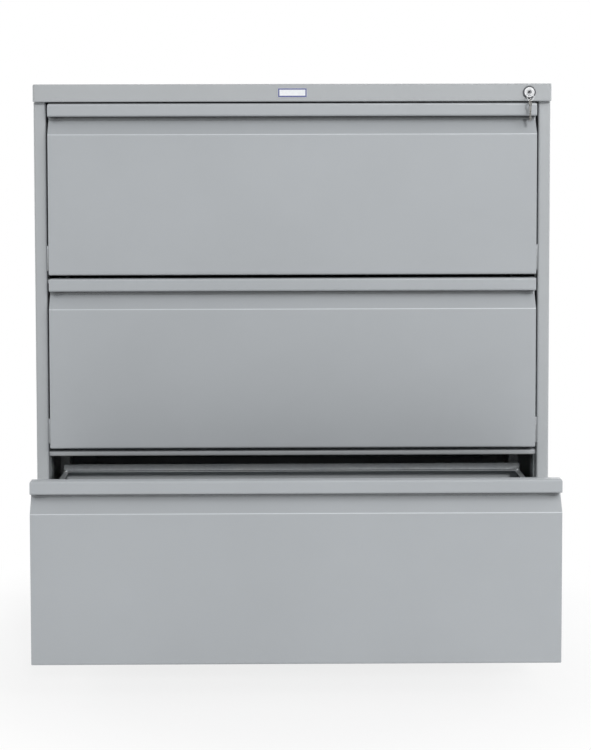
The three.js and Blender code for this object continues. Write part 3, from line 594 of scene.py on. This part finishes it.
def floor_finish():
    """Matt white that takes the shadow near the object and is plain white to the camera farther off."""
    material = bpy.data.materials.new("floor_white")
    material.use_nodes = True
    tree = material.node_tree
    shader = tree.nodes["Principled BSDF"]
    shader.inputs["Base Color"].default_value = opaque(FLOOR_WHITE)
    shader.inputs["Roughness"].default_value = FLOOR_ROUGHNESS
    shader.inputs["Specular IOR Level"].default_value = FLOOR_GLOSS
    glow = tree.nodes.new("ShaderNodeEmission")
    glow.inputs["Color"].default_value = opaque(WHITE)
    place = tree.nodes.new("ShaderNodeTexCoord")
    length = tree.nodes.new("ShaderNodeVectorMath")
    length.operation = "LENGTH"
    tree.links.new(place.outputs["Object"], length.inputs[0])
    fade = tree.nodes.new("ShaderNodeMapRange")
    fade.interpolation_type = "SMOOTHSTEP"
    fade.inputs["From Min"].default_value = FADE_START
    fade.inputs["From Max"].default_value = FADE_END
    fade.inputs["To Min"].default_value = FADE_LEAST
    tree.links.new(length.outputs["Value"], fade.inputs["Value"])
    path = tree.nodes.new("ShaderNodeLightPath")
    seen = joined(tree, "MAXIMUM", path.outputs["Is Camera Ray"], path.outputs["Is Glossy Ray"])
    share = joined(tree, "MULTIPLY", seen, fade.outputs["Result"])
    surface = mixed(tree, share, shader.outputs["BSDF"], glow.outputs["Emission"])
    tree.links.new(surface, tree.nodes["Material Output"].inputs["Surface"])
    return material


def lay_floor():
    mesh = bpy.data.meshes.new("floor")
    form = bmesh.new()
    bmesh.ops.create_circle(form, cap_ends=True, radius=FLOOR_RADIUS, segments=FLOOR_SIDES)
    form.to_mesh(mesh)
    form.free()
    floor = bpy.data.objects.new("floor", mesh)
    bpy.context.collection.objects.link(floor)
    mesh.materials.append(floor_finish())


def light_world():
    """Soft light from all round, with plain white to the camera and in reflections."""
    world = bpy.data.worlds.new("studio")
    bpy.context.scene.world = world
    world.use_nodes = True
    tree = world.node_tree
    soft = tree.nodes["Background"]
    soft.inputs["Color"].default_value = opaque(WHITE)
    soft.inputs["Strength"].default_value = WORLD_STRENGTH
    white = tree.nodes.new("ShaderNodeBackground")
    white.inputs["Color"].default_value = opaque(WHITE)
    white.inputs["Strength"].default_value = 1.0
    path = tree.nodes.new("ShaderNodeLightPath")
    bounced = joined(tree, "MAXIMUM", path.outputs["Is Glossy Ray"], path.outputs["Is Transmission Ray"])
    seen = joined(tree, "MAXIMUM", path.outputs["Is Camera Ray"], bounced)
    surface = mixed(tree, seen, soft.outputs["Background"], white.outputs["Background"])
    tree.links.new(surface, tree.nodes["World Output"].inputs["Surface"])


def aim(name, lamp, place, target):
    holder = bpy.data.objects.new(name, lamp)
    bpy.context.collection.objects.link(holder)
    holder.location = place
    holder.rotation_euler = (Vector(target) - Vector(place)).to_track_quat("-Z", "Y").to_euler()


def add_lamp(name, place, target, width, power):
    lamp = bpy.data.lights.new(name, "AREA")
    lamp.shape = "RECTANGLE"
    lamp.size = lamp.size_y = width
    lamp.energy = power
    aim(name, lamp, place, target)


def add_sun(name, place, target, spread, strength):
    lamp = bpy.data.lights.new(name, "SUN")
    lamp.angle = math.radians(spread)
    lamp.energy = strength
    aim(name, lamp, place, target)


def set_camera():
    """Camera at the photograph's angle; a positive yaw turns it right and a positive pitch down."""
    camera = bpy.data.cameras.new("camera")
    camera.sensor_fit = "AUTO"
    camera.sensor_width = CAMERA_SENSOR
    camera.lens = CAMERA_LENS
    camera.shift_x, camera.shift_y = CAMERA_SHIFT
    holder = bpy.data.objects.new("camera", camera)
    bpy.context.collection.objects.link(holder)
    pitch, yaw, roll = (math.radians(turn) for turn in (CAMERA_PITCH, CAMERA_YAW, CAMERA_ROLL))
    level = Vector((math.cos(yaw), -math.sin(yaw), 0))
    ahead = Vector((math.sin(yaw), math.cos(yaw), 0))
    forward = ahead * math.cos(pitch) - Vector((0, 0, math.sin(pitch)))
    up = level.cross(forward)
    right = level * math.cos(roll) + up * math.sin(roll)
    above = up * math.cos(roll) - level * math.sin(roll)
    turn = Matrix((right, above, -forward)).transposed().to_4x4()
    holder.matrix_world = Matrix.Translation(CAMERA_PLACE) @ turn
    bpy.context.scene.camera = holder


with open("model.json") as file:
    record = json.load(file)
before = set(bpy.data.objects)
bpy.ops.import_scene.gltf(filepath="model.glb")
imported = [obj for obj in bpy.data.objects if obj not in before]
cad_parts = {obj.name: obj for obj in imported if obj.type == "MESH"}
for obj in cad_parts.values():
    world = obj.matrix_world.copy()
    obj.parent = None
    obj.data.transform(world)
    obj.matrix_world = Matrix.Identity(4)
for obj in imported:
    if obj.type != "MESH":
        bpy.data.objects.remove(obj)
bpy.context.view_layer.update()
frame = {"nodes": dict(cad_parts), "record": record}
bpy.context.scene.view_settings.view_transform = "Standard"

set_camera()
front_low, front_high, _ = middle_of("bottom_drawer_front")
front_pitch = middle_of("middle_drawer_front")[0].z - front_low.z
front_folds = (front_low.z, front_pitch, front_high.z - front_low.z - FACE_DROP * MM)
finishes = {
    "case_paint": powder_coat("case_paint", CASE_GREY),
    "front_paint": powder_coat("front_paint", FRONT_GREY, front_folds),
    "zinc": zinc_plate("zinc", ZINC, low=0.26, high=0.44),
    "chrome": polished("chrome", CHROME, low=0.07, high=0.16),
    "key_nickel": polished("key_nickel", NICKEL, low=0.2, high=0.36),
    "badge_enamel": enamel("badge_enamel", BADGE_WHITE),
    "foot_plastic": moulded_plastic("foot_plastic"),
}
lock_middle = middle_of("lock_housing")[2]
# chrome of the plug and key, with painted shade round the keyway
keyway_painted_shade_finish = painted_shade_chrome("keyway_painted_shade_chrome", lock_middle, KEYWAY_SHADE_RADIUS, KEYWAY_PAINTED_SHADE, WHITE, KEYWAY_NARROW)
# zinc darkened as painted shade for the hanger rails and slide ends
rail_painted_shade_zinc = zinc_plate("rail_zinc_painted_shade", PAINTED_SHADE_ZINC, low=0.48, high=0.62)
special = {
    # bezel chrome with a painted dark rim
    "lock_housing": painted_shade_chrome("lock_bezel", lock_middle, BEZEL_FACE_RADIUS, WHITE, BEZEL_RIM_PAINTED_SHADE),
    "lock_plug": keyway_painted_shade_finish,
    "lock_key": keyway_painted_shade_finish,
    "key_ring": polished("ring_nickel", CHROME, low=0.12, high=0.24),
}
for drawer in DRAWERS:
    special[f"{drawer}_front_hanger_rail"] = rail_painted_shade_zinc
    special[f"{drawer}_rear_hanger_rail"] = rail_painted_shade_zinc
dress_nodes(frame, finishes, special)

for drawer in DRAWERS:
    slide_screws(drawer, finishes["zinc"])
    slide_ends(drawer, rail_painted_shade_zinc)
    rail_screws(drawer, finishes["zinc"])
back_screws(finishes["zinc"])
badge_border(enamel("badge_blue", BADGE_BLUE))
spare_key(frame, finishes["key_nickel"])

lay_floor()
light_world()
add_sun("key_light", SUN_PLACE, SUN_TARGET, SUN_SPREAD, SUN_STRENGTH)
for name, (place, target, width, power) in LAMPS.items():
    add_lamp(name, place, target, width, power)
